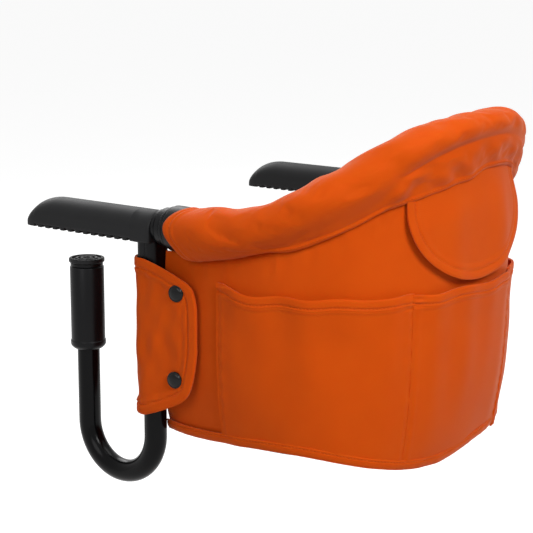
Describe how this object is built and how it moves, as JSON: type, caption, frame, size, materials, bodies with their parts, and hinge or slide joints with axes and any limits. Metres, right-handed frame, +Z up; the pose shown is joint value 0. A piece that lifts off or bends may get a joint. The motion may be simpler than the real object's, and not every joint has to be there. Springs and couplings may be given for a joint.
{
  "type": "hook on table chair",
  "caption": "Clip-on baby chair: a fabric seat on a padded bent-tube rim, hung from a table edge by toothed arms over it and J-shaped hooks with twist-grip clamps under it.",
  "frame": {"origin": "on the plane of the table top, midway between the two clamps, level with the axes of the hooks' rear legs", "axes": "+Z up, +Y from the table towards the seat's back, +X towards the chair's left arm as the child sits"},
  "size_m": [0.3932, 0.429, 0.3744],
  "materials": {
    "boot_rubber": "moulded black rubber, satin",
    "black_nylon": "injection-moulded glass-filled nylon, satin black",
    "black_painted_steel": "gloss black powder coat on bent steel tube",
    "zinc_steel": "bright zinc plate",
    "snap_metal": "gloss black enamel on a pressed snap cap",
    "orange_canvas": "plain-woven polyester canvas, orange",
    "orange_padded_fabric": "orange canvas sewn round foam",
    "base_board": "extruded polypropylene sheet",
    "black_webbing": "woven polypropylene webbing, black"
  },
  "bodies": {
    "seat": {"rim_tube": "black_painted_steel", "rim_pad": "orange_padded_fabric", "roll_skirt": "orange_canvas", "seat_wall": "orange_canvas", "base_binding": "orange_canvas", "base_panel": "orange_canvas", "base_board": "base_board", "seat_cushion": "orange_padded_fabric", "front_panel": "orange_canvas", "back_pocket": "orange_canvas", "pocket_flap": "orange_canvas", "buckle_body": "black_nylon", "crotch_strap": "black_webbing", "rear_collar_left": "black_nylon", "collar_rivet_left": "zinc_steel", "side_pocket_left": "orange_canvas", "buckle_tongue_left": "black_nylon", "waist_strap_left": "black_webbing", "hook_sleeve_left": "orange_canvas", "sleeve_snap_upper_left": "snap_metal", "sleeve_snap_lower_left": "snap_metal", "rear_collar_right": "black_nylon", "collar_rivet_right": "zinc_steel", "side_pocket_right": "orange_canvas", "buckle_tongue_right": "black_nylon", "waist_strap_right": "black_webbing", "hook_sleeve_right": "orange_canvas", "sleeve_snap_upper_right": "snap_metal", "sleeve_snap_lower_right": "snap_metal"},
    "buckle_button": {"buckle_button": "black_nylon"},
    "left_clamp": {"arm_boot_left": "boot_rubber", "arm_tube_left": "black_painted_steel", "hub_housing_left": "black_nylon", "hook_tube_left": "black_painted_steel", "neck_pin_left": "zinc_steel", "pivot_pin_left": "zinc_steel", "tube_insert_left": "black_nylon", "clamp_spindle_left": "zinc_steel"},
    "left_pad": {"pressure_pad_left": "boot_rubber", "pad_carrier_left": "black_nylon"},
    "left_grip": {"grip_sleeve_left": "black_nylon", "grip_nut_left": "zinc_steel"},
    "right_clamp": {"arm_boot_right": "boot_rubber", "arm_tube_right": "black_painted_steel", "hub_housing_right": "black_nylon", "hook_tube_right": "black_painted_steel", "neck_pin_right": "zinc_steel", "pivot_pin_right": "zinc_steel", "tube_insert_right": "black_nylon", "clamp_spindle_right": "zinc_steel"},
    "right_pad": {"pressure_pad_right": "boot_rubber", "pad_carrier_right": "black_nylon"},
    "right_grip": {"grip_sleeve_right": "black_nylon", "grip_nut_right": "zinc_steel"}
  },
  "joints": [
    {"name": "left_claw_fold", "type": "hinge", "parent": "seat", "child": "left_clamp", "pos_m": [0.173, 0, 0.015], "axis": [0, 1, 0], "range_deg": [0, 90], "deforming": ["hook_sleeve_left"]},
    {"name": "left_pad_slide", "type": "slide", "parent": "left_clamp", "child": "left_pad", "axis": [0, 0, 1], "range_m": [-0.018, 0.007]},
    {"name": "left_grip_turn", "type": "hinge", "parent": "left_pad", "child": "left_grip", "pos_m": [0.173, -0.09, -0.07], "axis": [0, 0, 1], "range_deg": [-1295, 503]},
    {"name": "right_claw_fold", "type": "hinge", "parent": "seat", "child": "right_clamp", "pos_m": [-0.173, 0, 0.015], "axis": [0, -1, 0], "range_deg": [0, 70], "deforming": ["hook_sleeve_right"]},
    {"name": "right_pad_slide", "type": "slide", "parent": "right_clamp", "child": "right_pad", "axis": [0, 0, 1], "range_m": [-0.018, 0.007]},
    {"name": "right_grip_turn", "type": "hinge", "parent": "right_pad", "child": "right_grip", "pos_m": [-0.173, -0.09, -0.07], "axis": [0, 0, 1], "range_deg": [-1295, 503]},
    {"name": "buckle_press", "type": "slide", "parent": "seat", "child": "buckle_button", "axis": [0, 1, 0], "range_m": [0, 0.0025], "stiffness_N_per_m": 400}
  ],
  "couplings": [
    {"joint": "left_pad_slide", "follows": "left_grip_turn", "m_per_rad": 0.00079577},
    {"joint": "right_pad_slide", "follows": "right_grip_turn", "m_per_rad": 0.00079577}
  ]
}
